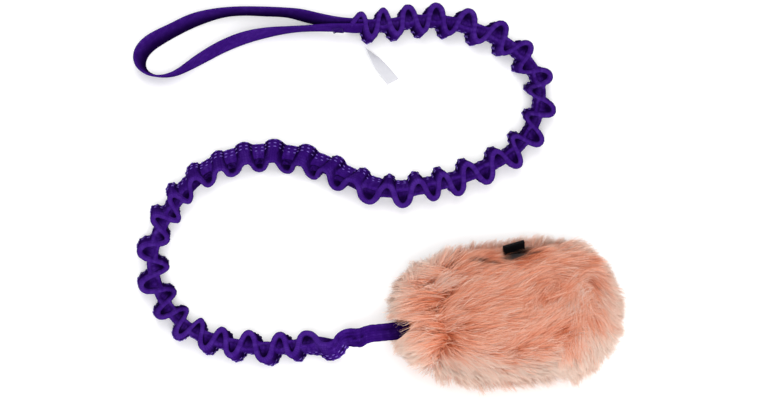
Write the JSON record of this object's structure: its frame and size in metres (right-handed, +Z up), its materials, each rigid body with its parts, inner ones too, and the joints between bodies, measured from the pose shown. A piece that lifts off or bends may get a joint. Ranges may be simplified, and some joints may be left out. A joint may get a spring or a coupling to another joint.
{
  "type": "bungee tug toy",
  "caption": "Dog tug toy: webbing hand loop on a ruffled elastic bungee, with a long-pile clam pouch for treats at its other end.",
  "frame": {"origin": "middle of the flat underside of the pouch, on the surface the toy lies on", "axes": "+Z up; +X from the hand loop towards the pouch; +Y from the pouch towards the hand loop's side of the S"},
  "size_m": [0.3429, 0.3147, 0.0641],
  "materials": {
    "webbing": "woven nylon webbing, satin",
    "sleeve": "woven tubular webbing, ruffled, three stitch rows",
    "thread": "polyester thread",
    "elastic": "braided elastic",
    "label": "satin ribbon",
    "fur": "long-pile faux fur",
    "lining": "coated nylon",
    "hook": "hook tape",
    "loop": "brushed loop tape",
    "tab": "woven black webbing"
  },
  "bodies": {
    "pouch": {"pouch_lower_fur": "fur", "pouch_lower_lining": "lining", "loop_tape": "loop", "strap_anchor": "webbing"},
    "flap": {"pouch_upper_fur": "fur", "pouch_upper_lining": "lining", "hook_tape": "hook"},
    "tab": {"pull_tab": "tab"},
    "tail": {"tail_strap": "webbing", "tail_stitching": "thread"},
    "bungee_4": {"sleeve_4": "sleeve", "elastic_core_4": "elastic"},
    "bungee_3": {"sleeve_3": "sleeve", "elastic_core_3": "elastic"},
    "bungee_2": {"sleeve_2": "sleeve", "elastic_core_2": "elastic"},
    "bungee_1": {"sleeve_1": "sleeve", "elastic_core_1": "elastic", "handle_anchor": "webbing"},
    "handle": {"handle_loop": "webbing", "handle_stitching": "thread"},
    "label": {"care_label": "label"}
  },
  "joints": [
    {"name": "pouch_mouth", "type": "hinge", "parent": "pouch", "child": "flap", "pos_m": [0.00439, -0.04177, 0.03], "axis": [0.9945, 0.1045, 0], "range_deg": [0, 65]},
    {"name": "tab_flip", "type": "hinge", "parent": "flap", "child": "tab", "pos_m": [0.00597, 0.04266, 0.0332], "axis": [0.9511, 0.309, 0], "range_deg": [-28, 28], "stiffness_Nm_per_rad": 0.004},
    {"name": "pouch_swing", "type": "hinge", "parent": "pouch", "child": "tail", "pos_m": [-0.08687, -0.01536, 0.03], "axis": [0, 0, 1], "range_deg": [-25, 50]},
    {"name": "bungee_stretch", "type": "slide", "parent": "tail", "child": "bungee_4", "axis": [-0.833, 0.5532, 0], "range_m": [0, 0.06], "stiffness_N_per_m": 250},
    {"name": "stretch_3", "type": "slide", "parent": "bungee_4", "child": "bungee_3", "axis": [0.9378, 0.3471, 0], "range_m": [0, 0.06], "stiffness_N_per_m": 250},
    {"name": "stretch_2", "type": "slide", "parent": "bungee_3", "child": "bungee_2", "axis": [0.9022, 0.4313, 0], "range_m": [0, 0.06], "stiffness_N_per_m": 250},
    {"name": "stretch_1", "type": "slide", "parent": "bungee_2", "child": "bungee_1", "axis": [-0.8916, 0.4528, 0], "range_m": [0, 0.06], "stiffness_N_per_m": 250},
    {"name": "handle_fold", "type": "hinge", "parent": "bungee_1", "child": "handle", "pos_m": [-0.10449, 0.24224, 0.0125], "axis": [0, 0, 1], "range_deg": [-70, 22]},
    {"name": "label_flop", "type": "hinge", "parent": "bungee_1", "child": "label", "pos_m": [-0.09476, 0.22689, 0.0084], "axis": [-1, 0, 0], "range_deg": [0, 80]}
  ],
  "couplings": [
    {"joint": "stretch_3", "follows": "bungee_stretch", "ratio": 1},
    {"joint": "stretch_2", "follows": "bungee_stretch", "ratio": 1},
    {"joint": "stretch_1", "follows": "bungee_stretch", "ratio": 1}
  ]
}
